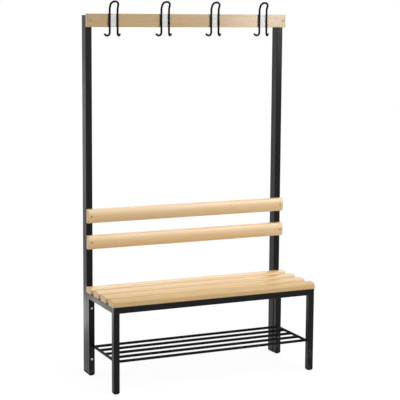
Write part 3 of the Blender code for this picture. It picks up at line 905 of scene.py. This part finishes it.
# Black coating: scales of its noises, and the ramps of its rubbed marks, thin edges and painted edge highlight,
# with heights above the floor in metres
CLOUD_SCALE = 9.0
WEAR_AND_HIGHLIGHT_SCALE = 60.0
RUB_SCALE = 17.0
DRAG_GRAIN = (60, 60, 190)
WEAR_AND_HIGHLIGHT_EDGE = (0.35, 0.75)
DRAG_EDGE = (0.52, 0.68)
RUB_EDGE = (0.5, 0.62)
LOW_DOWN = (0.2, 0.09)
DUST_FACING = (0.5, 1.0)
DUST_SHARE = (0.3, 0.7, 0.0, 0.012)
CLOUD_ROUGHNESS = (0.25, 0.75, 0.0, 0.10)
RUBBED_ROUGHNESS = 0.35


def coating_group():
    """Black coating: the orange peel of sprayed powder, paler edges, rubbed marks low down, dust.

    The paler edges are a thin coat and a painted highlight in one: a piece's edge value times a patchy noise.
    Marks are stretched noise inside patches of a slower noise, fading out upward. Dust lies where the normal
    points up.
    """
    inputs = {
        "Coating": ("Color", srgb(13, 13, 14)),
        "Thin_and_highlit": ("Color", srgb(48, 48, 49)),
        "Rubbed": ("Color", srgb(150, 149, 146)),
        "Edge Wear and Highlight": ("Float", 0.35),
        "Scuffs": ("Float", 0.36),
        "Peel Scale": ("Float", 620.0),
        "Gloss Loss": ("Float", 0.28),
    }
    tree, given, out = new_group("black_coating", inputs, FINISH_OUTPUTS)
    place = object_place(tree)
    cloud = noise(tree, place, CLOUD_SCALE, detail=3.0)
    patchy = ramp(tree, noise(tree, place, WEAR_AND_HIGHLIGHT_SCALE, detail=3.0, rough=0.65), *WEAR_AND_HIGHLIGHT_EDGE)
    # Painted highlight: round corners are made paler, where the coat is also thin, in patches of a noise.
    worn_and_highlit = times(tree, times(tree, attribute(tree, "edge"), patchy), given["Edge Wear and Highlight"])
    low_down = ramp(tree, node(tree, "SeparateXYZ", {0: place}).outputs["Z"], *LOW_DOWN)
    drag = ramp(tree, grain(tree, place, DRAG_GRAIN, detail=4.0, rough=0.65), *DRAG_EDGE)
    where = ramp(tree, noise(tree, place, RUB_SCALE, detail=1.0), *RUB_EDGE)
    scuff = times(tree, times(tree, times(tree, drag, where), low_down), given["Scuffs"])
    dust = times(tree, ramp(tree, facing(tree, "Z"), *DUST_FACING), ramp(tree, cloud, *DUST_SHARE))
    colour = mixed(tree, worn_and_highlit, given["Coating"], given["Thin_and_highlit"])
    rough = plus(tree, given["Gloss Loss"], ramp(tree, cloud, *CLOUD_ROUGHNESS))
    put_out(
        tree,
        out,
        Colour=mixed(tree, plus(tree, scuff, dust, clamp=True), colour, given["Rubbed"]),
        Roughness=plus(tree, rough, times(tree, plus(tree, scuff, dust), RUBBED_ROUGHNESS)),
        Height=noise(tree, place, given["Peel Scale"]),
    )
    return tree


# Zinc plating: scales of its patches and brushed lines, and their ramps
ZINC_SCALE = 210.0
BRUSHED_GRAIN = (2400, 2400, 90)
ZINC_EDGE = (0.35, 0.7)
ZINC_SHARE = 0.75
ZINC_ROUGHNESS = (0.3, 0.7, 0.5, 0.62)
BRUSHED_ROUGHNESS = 0.1


def plating_group():
    """Zinc plating: pale metal clouded in patches of a noise, with fine brushed lines of a stretched one."""
    inputs = {"Bright": ("Color", srgb(183, 183, 183)), "Dull": ("Color", srgb(161, 161, 160))}
    tree, given, out = new_group("zinc_plating", inputs, FINISH_OUTPUTS)
    place = object_place(tree)
    cloud = noise(tree, place, ZINC_SCALE, detail=3.0, rough=0.6)
    line = grain(tree, place, BRUSHED_GRAIN, rough=0.6)
    share = times(tree, ramp(tree, cloud, *ZINC_EDGE), ZINC_SHARE)
    put_out(
        tree,
        out,
        Colour=mixed(tree, share, given["Bright"], given["Dull"]),
        Roughness=plus(tree, ramp(tree, cloud, *ZINC_ROUGHNESS), times(tree, line, BRUSHED_ROUGHNESS)),
        Height=line,
    )
    return tree


def finish(name, group, values=None, *, bump, deep, **constants):
    """Material of one finish: a Principled shader whose colour, roughness and bump come from a node group.

    Values are the group's inputs that differ from its first ones; constants are set on the shader itself.
    """
    material = bpy.data.materials.new(name)
    material.use_nodes = True
    tree = material.node_tree
    shader = tree.nodes["Principled BSDF"]
    made = node(tree, "Group", values, node_tree=group)
    tree.links.new(made.outputs["Colour"], shader.inputs["Base Color"])
    tree.links.new(made.outputs["Roughness"], shader.inputs["Roughness"])
    if "Lacquer" in made.outputs:
        tree.links.new(made.outputs["Lacquer"], shader.inputs["Coat Weight"])
    relief = node(tree, "Bump", {"Strength": bump, "Distance": deep, "Height": made.outputs["Height"]})
    tree.links.new(relief.outputs["Normal"], shader.inputs["Normal"])
    for label, value in constants.items():
        shader.inputs[label.replace("_", " ")].default_value = value
    return material


wood = wood_grain_group()
coating = coating_group()
plating = plating_group()

# Lacquer of seat and hook rail, and the softer one of the backrest; then what each finish has of its own
BOARD_LOOK = {"bump": 0.12, "deep": 0.15 * MM, "Specular_IOR_Level": 0.45}
GLOSS_LACQUER = {"Coat_Roughness": 0.22, "Coat_IOR": 1.68}
SATIN_LACQUER = {"Coat_Roughness": 0.45, "Coat_IOR": 1.9}
RACK_WEAR = {"Scuffs": 0.2, "Edge Wear and Highlight": 0.0, "Gloss Loss": 0.42}
DIP_WEAR = {"Scuffs": 0.0, "Edge Wear and Highlight": 0.0, "Peel Scale": 340.0, "Gloss Loss": 0.3}
MOULD_WEAR = {"Scuffs": 0.25, "Peel Scale": 2300.0, "Gloss Loss": 0.48}
BRIGHT_TONES = {"Bright": srgb(212, 212, 211), "Dull": srgb(188, 188, 186)}
STEEL_TONES = {"Bright": srgb(160, 149, 130), "Dull": srgb(124, 114, 98)}

BEECH = finish("lacquered_beech", wood, **BOARD_LOOK, **GLOSS_LACQUER)
SATIN_BEECH = finish("satin_beech", wood, **BOARD_LOOK, **SATIN_LACQUER)
COATED = finish("black_powder_coat", coating, bump=0.35, deep=0.12 * MM, Specular_IOR_Level=0.16)
RACK_COAT = finish("black_rack_coat", coating, RACK_WEAR, bump=0.2, deep=0.1 * MM, Specular_IOR_Level=0.06)
DIPPED = finish("black_hook_dip", coating, DIP_WEAR, bump=0.2, deep=0.08 * MM, Specular_IOR_Level=0.1)
MOULDED = finish(
    "black_moulded_plastic", coating, MOULD_WEAR, bump=0.5, deep=0.06 * MM, Specular_IOR_Level=0.12
)
PLATED = finish("zinc_plate", plating, bump=0.12, deep=0.03 * MM, Metallic=1.0)
BRIGHT = finish("bright_zinc", plating, BRIGHT_TONES, bump=0.12, deep=0.03 * MM, Metallic=1.0)
STEEL = finish("dull_steel", plating, STEEL_TONES, bump=0.2, deep=0.03 * MM, Metallic=1.0)


# ---------------------------------------------------------------- the bench

rail_low, rail_high, rail_middle = box("hook_rail")
RAIL_HEIGHT = rail_high[2] - rail_low[2]
leg_low, leg_high, _ = box("front_leg_left")
LEG_SIZE = leg_high[0] - leg_low[0]

# Looks of the boards: how far each is darkened towards the heart colour, and how much lacquer is left on it.
# On the hook rail the full darkening is painted shade: it makes the rail darker than the slats.
SEAT_TONES = (0.34, 0.05, 0.1, 0.0)
SEAT_LACQUER = (0.15, 0.46, 0.58, 0.82)
BACK_TONES = (0.1, 0.2)
BACK_LACQUER = 1.0
# Painted shade: the hook rail's colour is darkened all over, as if it got less light than the slats.
RAIL_SHADE_TONE = 1.0
RAIL_LACQUER = 0.4


def add_boards():
    """Seat slats with their crown up, backrest slats with their crown forward, and the flat hook rail.

    Boards are numbered from 1 in this order, and the number sets each board's figure.
    """
    drilled = [box(f"upright_{side}")[2][0] for side in SIDES]
    for i, tone in enumerate(SEAT_TONES, 1):
        name = f"seat_slat_{i}"
        low, high, middle = box(name)
        length, width, thickness = high - low
        section = slat_section(width, thickness, BOARD_PATCH)
        points, faces = board(section, length, BOARD_END_EASE, BOARD_SPACING)
        points = placed(points, (middle[0], middle[1], low[2]), Y, Z, X)
        look = {"board": float(i), "tone": tone, "lacquer": SEAT_LACQUER[i - 1]}
        add_piece("beech_" + name, points, faces, BEECH, "beech", [name], **look)
    for i, tone in enumerate(BACK_TONES, 1):
        name = f"back_slat_{i}"
        low, high, middle = box(name)
        length, thickness, width = high - low
        section = slat_section(width, thickness, BOARD_PATCH)
        points, faces = board(section, length, BOARD_END_EASE, BOARD_SPACING, drilled, BOARD_MOUTH)
        points = placed(points, (middle[0], high[1], middle[2]), Z, -Y, X)
        look = {"board": float(len(SEAT_TONES) + i), "tone": tone, "lacquer": BACK_LACQUER}
        add_piece("beech_" + name, points, faces, SATIN_BEECH, "beech", [name], **look)
    length, thickness, width = rail_high - rail_low
    section = flat_section(width, thickness, RAIL_EDGE, BOARD_PATCH)
    points, faces = board(section, length, BOARD_END_EASE, BOARD_SPACING, drilled, BOARD_MOUTH)
    points = placed(points, (rail_middle[0], rail_high[1], rail_middle[2]), Z, -Y, X)
    number = float(len(SEAT_TONES) + len(BACK_TONES) + 1)
    look = {"board": number, "tone": RAIL_SHADE_TONE, "lacquer": RAIL_LACQUER}
    add_piece("beech_hook_rail", points, faces, BEECH, "beech", ["hook_rail"], **look)


def add_tube(name, along, rim, stretch=0.0):
    """Hollow tube in a node's box, along X, Y or Z, lengthened a little where it is welded on."""
    low, high, middle = box(name)
    axis = int(np.argmax(along))
    across, up = [side for side in (0, 1, 2) if side != axis]
    size = high - low
    # The edge value of the corners gives a thin coat and a painted highlight.
    points, faces, wear_and_highlight = tube(size[across], size[up], size[axis] + 2 * stretch, rim)
    points = placed(points, middle, AXES[across], AXES[up], along)
    add_piece("coated_" + name, points, faces, COATED, "black_powder_coat", [name], edge=wear_and_highlight)


def add_frame():
    """Uprights, legs and rails of tube, with weld beads where a rail meets a leg."""
    for side in SIDES:
        for name in (f"upright_{side}", f"front_leg_{side}", f"rear_leg_{side}"):
            add_tube(name, Z, OPEN_RIM)
        add_tube(f"side_rail_{side}", Y, WELDED_RIM, GAP)
    for row in ROWS:
        add_tube(f"{row}_rail", X, WELDED_RIM, GAP)
    points, faces = weld_bead(LEG_SIZE)
    reach = LEG_SIZE / 2
    for side, sign in SIDES.items():
        for row, inward in ROWS.items():
            x, y, _ = box(f"{row}_leg_{side}")[2]
            z = box(f"{row}_rail")[2][2]
            bead = placed(points, (x - sign * reach, y, z), inward * Y, Z, -sign * X)
            add_piece(f"weld_{row}_rail_{side}", bead, faces, COATED, "black_powder_coat")
            bead = placed(points, (x, y + inward * reach, z), -sign * X, Z, inward * Y)
            add_piece(f"weld_side_rail_{row}_{side}", bead, faces, COATED, "black_powder_coat")


def add_tube_end(name, height, rounding, inward):
    """Moulded end in a node's box: its outer face is the box's bottom where inward points up, else its top."""
    low, high, middle = box(name)
    width, depth, whole = high - low
    points, faces = tube_end(width, depth, height, rounding, whole - height)
    face = low[2] if inward[2] > 0 else high[2]
    points = placed(points, (middle[0], middle[1], face), X, Y, inward)
    add_piece("moulded_" + name, points, faces, MOULDED, "black_plastic", [name])


def add_tube_ends():
    """Plastic feet under the legs and uprights, and caps in the tops of the uprights."""
    for side in SIDES:
        for name in (f"front_foot_{side}", f"rear_foot_{side}", f"upright_foot_{side}"):
            add_tube_end(name, FOOT_HEIGHT, FOOT_ROUNDING, Z)
        add_tube_end(f"upright_cap_{side}", CAP_HEIGHT, CAP_ROUNDING, -Z)


def add_rack():
    """Rods of the rack and the two side bars that carry them, welded to each other and to the legs.

    Their coat is as thick as the fit's gap, so that the rods rest on the bars.
    """
    bar_low, bar_high, bar_middle = box("rack_bar_right")
    radius = (bar_high[0] - bar_low[0]) / 2 + ROD_COAT
    for i in range(1, ROD_COUNT + 1):
        name = f"rack_rod_{i}"
        low, high, middle = box(name)
        points, faces = rack_rod(bar_middle[0] - radius, (high[2] - low[2]) / 2 + ROD_COAT, radius)
        points = placed(points, middle, Y, Z, X)
        add_piece("coated_" + name, points, faces, RACK_COAT, "black_powder_coat", [name])
    for side, sign in SIDES.items():
        name = f"rack_bar_{side}"
        low, high, middle = box(name)
        points, faces = rack_bar((high[1] - low[1]) / 2 + GAP, radius, sign)
        points = placed(points, middle, X, Z, Y)
        add_piece("coated_" + name, points, faces, RACK_COAT, "black_powder_coat", [name])


def turned(turn):
    """X and Z turned about Y by an angle: X cos + Z sin, and Z cos - X sin."""
    return math.cos(turn) * X + math.sin(turn) * Z, math.cos(turn) * Z - math.sin(turn) * X


def add_hooks():
    """Wire hooks on the rail's face, each with its plate and two screws."""
    wire, wire_faces = wire_hook()
    screw, screw_faces = cross_head(**HOOK_SCREW)
    for i in range(1, HOOK_COUNT + 1):
        low, high, middle = box(f"hook_plate_{i}")
        width, thickness, length = high - low
        hook = placed(wire, (middle[0], rail_low[1] - GAP - WIRE / 2, rail_middle[2]), X, Y, Z)
        add_piece(f"dipped_hook_{i}", hook, wire_faces, DIPPED, "black_hook_coating", [f"hook_{i}"])
        heads = {level: box(f"hook_screw_{i}_{level}")[2] for level in HOOK_SCREW_TURNS}
        drilled = [head[2] - middle[2] for head in heads.values()]
        section = flat_section(width, thickness, PLATE_EDGE, PLATE_PATCH)
        points, faces = board(section, length, PLATE_EDGE, PLATE_SPACING, drilled, PLATE_MOUTH)
        points = placed(points, (middle[0], high[1], middle[2]), X, -Y, Z)
        add_piece(f"plated_hook_plate_{i}", points, faces, PLATED, "zinc_steel", [f"hook_plate_{i}"])
        for level, head in heads.items():
            name = f"hook_screw_{i}_{level}"
            turn = HOOK_TURN_STEP * i + HOOK_SCREW_TURNS[level]
            points = placed(screw, (head[0], low[1] + HOOK_SCREW_SUNK, head[2]), *turned(turn), -Y)
            add_piece("plated_" + name, points, screw_faces, BRIGHT, "zinc_steel", [name])


def add_fasteners():
    """Board screws sunk in the backrest and the hook rail, bolts in the rear legs, screws under the seat."""
    screw, screw_faces = cross_head(**BOARD_SCREW)
    bolt, bolt_faces = socket_bolt()
    pan_screw, pan_faces = cross_head(**SEAT_SCREW)
    for side, sign in SIDES.items():
        board_screws = (f"back_screw_1_{side}", f"back_screw_2_{side}", f"rail_screw_{side}")
        for k, name in enumerate(board_screws):
            low, _, middle = box(name)
            turn = BOARD_SCREW_TURN + BOARD_TURN_STEP * k + BOARD_TURN_SIDE * sign
            points = placed(screw, (middle[0], low[1], middle[2]), *turned(turn), -Y)
            add_piece("plated_" + name, points, screw_faces, STEEL, "zinc_steel", [name])
        for name in (f"bench_bolt_{side}_lower", f"bench_bolt_{side}_upper"):
            low, _, middle = box(name)
            points = placed(bolt, (middle[0], low[1] + BOLT_RISE, middle[2]), X, Z, -Y)
            add_piece("plated_" + name, points, bolt_faces, BRIGHT, "zinc_steel", [name])
        low, high, middle = box(f"side_rail_{side}")
        for i in range(1, len(SEAT_TONES) + 1):
            slat_y = box(f"seat_slat_{i}")[2][1]
            y = np.clip(slat_y, low[1] + SEAT_SCREW_INSET, high[1] - SEAT_SCREW_INSET)
            points = placed(pan_screw, (middle[0], y, low[2] - PAN_SEAT), X, Y, -Z)
            add_piece(f"plated_seat_screw_{i}_{side}", points, pan_faces, STEEL, "zinc_steel")


# ---------------------------------------------------------------- floor, light and camera

WHITE = (1, 1, 1, 1)
FLOOR_REACH = 14.0
FLOOR_MATT = (0.84, 0.84, 0.84, 1)

# Floor from where the shadow is kept to where it is gone: distances, then the white part's share and strength
SHADOW_NEAR, SHADOW_FAR = 1.1, 2.8
FLOOR_SHARE = (SHADOW_NEAR, SHADOW_FAR, 0.86, 1.0)
FLOOR_FILL = (SHADOW_NEAR, SHADOW_FAR, 1.075, 1.0)

AMBIENT = 0.06

# Lamps: place, target, width and height, power
LAMPS = {
    "overhead": ((0.3, -1.0, 6.0), (0.0, 0.0, 0.5), (4.0, 3.0), 180.0),
    "key": ((2.3, -5.0, 3.2), (0.0, 0.0, 0.9), (2.6, 2.8), 119.0),
    "back": ((0.0, 3.0, 3.0), (0.0, 0.0, 0.5), (2.4, 0.9), 14.0),
    "right_back": ((2.1, 3.0, 2.6), (0.0, 0.0, 0.45), (1.8, 0.8), 6.5),
    "right_front": ((1.25, -1.5, 1.7), (0.42, 0.12, 1.62), (0.4, 0.4), 6.5),
    "left": ((-3.5, 1.5, 1.6), (0.0, 0.0, 0.9), (1.0, 1.0), 35.0),
    "left_back": ((-1.45, 2.4, 0.9), (-0.5, 0.1, 0.8), (0.7, 0.7), 1.4),
    "low_left_back": ((-0.86, 0.96, 0.088), (-0.55, 0.0, 0.12), (0.4, 0.165), 0.54),
}
SHEEN_ONLY = ("low_left_back",)
NEAR_UPRIGHT = (0.0, 0.02, 1.0)

# Camera fitted to the photograph: place, angles in radians, lens and sensor in millimetres
CAMERA_PLACE = (-2.38970, -5.21180, 1.65602)
CAMERA_YAW, CAMERA_PITCH, CAMERA_ROLL = 0.42994, -0.13103, 0.00665
CAMERA_LENS, CAMERA_SENSOR = 113.706, 36.0
CAMERA_SHIFT = (0.0, -0.05)
CAMERA_FAR = 60.0


def background_rays(tree):
    """1 for rays that should meet the plain white background: camera, glossy and transmission rays."""
    path = node(tree, "LightPath").outputs
    seen = reckoned(tree, "MAXIMUM", path["Is Camera Ray"], path["Is Glossy Ray"])
    return reckoned(tree, "MAXIMUM", seen, path["Is Transmission Ray"])


def floor_finish():
    """Matt white floor near the bench, which keeps its shadow and fades to the white background.

    Near the bench the white part makes up for what the matt part lacks, so that the sum is 1 where no shadow
    falls.
    """
    material = bpy.data.materials.new("pale_floor")
    material.use_nodes = True
    tree = material.node_tree
    tree.nodes.clear()
    away = node(tree, "VectorMath", {0: object_place(tree)}, operation="LENGTH").outputs["Value"]
    share = times(tree, ramp(tree, away, *FLOOR_SHARE), background_rays(tree))
    matt = node(tree, "BsdfDiffuse", {"Color": FLOOR_MATT})
    white = node(tree, "Emission", {"Color": WHITE, "Strength": ramp(tree, away, *FLOOR_FILL)})
    both = node(tree, "MixShader", {0: share, 1: matt.outputs[0], 2: white.outputs[0]})
    node(tree, "OutputMaterial", {"Surface": both.outputs[0]})
    return material


def add_floor():
    """Round floor: rings about the origin whose radius grows as the square of the row."""
    r = FLOOR_REACH * np.linspace(0, 1, FLOOR_ROWS)[:, None] ** 2
    mesh = make_mesh("floor", *joined(rings(r, turns(FLOOR_COLUMNS), 0.0)), {})
    mesh.materials.append(floor_finish())
    floor = bpy.data.objects.new("floor", mesh)
    bpy.context.scene.collection.objects.link(floor)


def add_world():
    """White world for what is seen or mirrored, and a dimmer even light for everything else."""
    world = bpy.data.worlds.new("studio")
    bpy.context.scene.world = world
    world.use_nodes = True
    tree = world.node_tree
    tree.nodes.clear()
    strength = ramp(tree, background_rays(tree), 0.0, 1.0, AMBIENT, 1.0)
    light = node(tree, "Background", {"Color": WHITE, "Strength": strength})
    node(tree, "OutputWorld", {"Surface": light.outputs[0]})


def set_up(name, data, right, up, back, place):
    """Lamp or camera at a place, with its own axes right, up and back; it looks against back."""
    thing = bpy.data.objects.new(name, data)
    matrix = np.eye(4)
    matrix[:3] = np.column_stack([right, up, back, place])
    thing.matrix_world = Matrix(matrix.tolist())
    bpy.context.scene.collection.objects.link(thing)
    return thing


def add_lamp(name, place, target, size, power):
    """Rectangular soft lamp at a place, facing a target; one for sheen only lights nothing matt."""
    data = bpy.data.lights.new(name, "AREA")
    data.shape, data.energy = "RECTANGLE", power
    data.size, data.size_y = size
    back = np.subtract(place, target) / np.linalg.norm(np.subtract(place, target))
    right = np.cross(NEAR_UPRIGHT, back)
    right /= np.linalg.norm(right)
    lamp = set_up(name, data, right, np.cross(back, right), back, place)
    lamp.visible_camera = False
    lamp.visible_diffuse = name not in SHEEN_ONLY


def add_camera():
    """Camera of the photograph: its view turns from +Y by yaw to the right, then by pitch up, then rolls."""
    level_right = np.array([math.cos(CAMERA_YAW), -math.sin(CAMERA_YAW), 0])
    level_view = np.array([math.sin(CAMERA_YAW), math.cos(CAMERA_YAW), 0])
    view = level_view * math.cos(CAMERA_PITCH) + Z * math.sin(CAMERA_PITCH)
    level_up = Z * math.cos(CAMERA_PITCH) - level_view * math.sin(CAMERA_PITCH)
    right = level_right * math.cos(CAMERA_ROLL) + level_up * math.sin(CAMERA_ROLL)
    up = level_up * math.cos(CAMERA_ROLL) - level_right * math.sin(CAMERA_ROLL)
    data = bpy.data.cameras.new("camera")
    data.sensor_width, data.lens = CAMERA_SENSOR, CAMERA_LENS
    data.shift_x, data.shift_y = CAMERA_SHIFT
    data.clip_end = CAMERA_FAR
    bpy.context.scene.camera = set_up("camera", data, right, up, -view, CAMERA_PLACE)


def add_studio():
    """Floor, world, lamps and camera."""
    add_floor()
    add_world()
    for name, lamp in LAMPS.items():
        add_lamp(name, *lamp)
    add_camera()
    bpy.context.scene.view_settings.view_transform = "Standard"


add_boards()
add_frame()
add_tube_ends()
add_rack()
add_hooks()
add_fasteners()
add_studio()
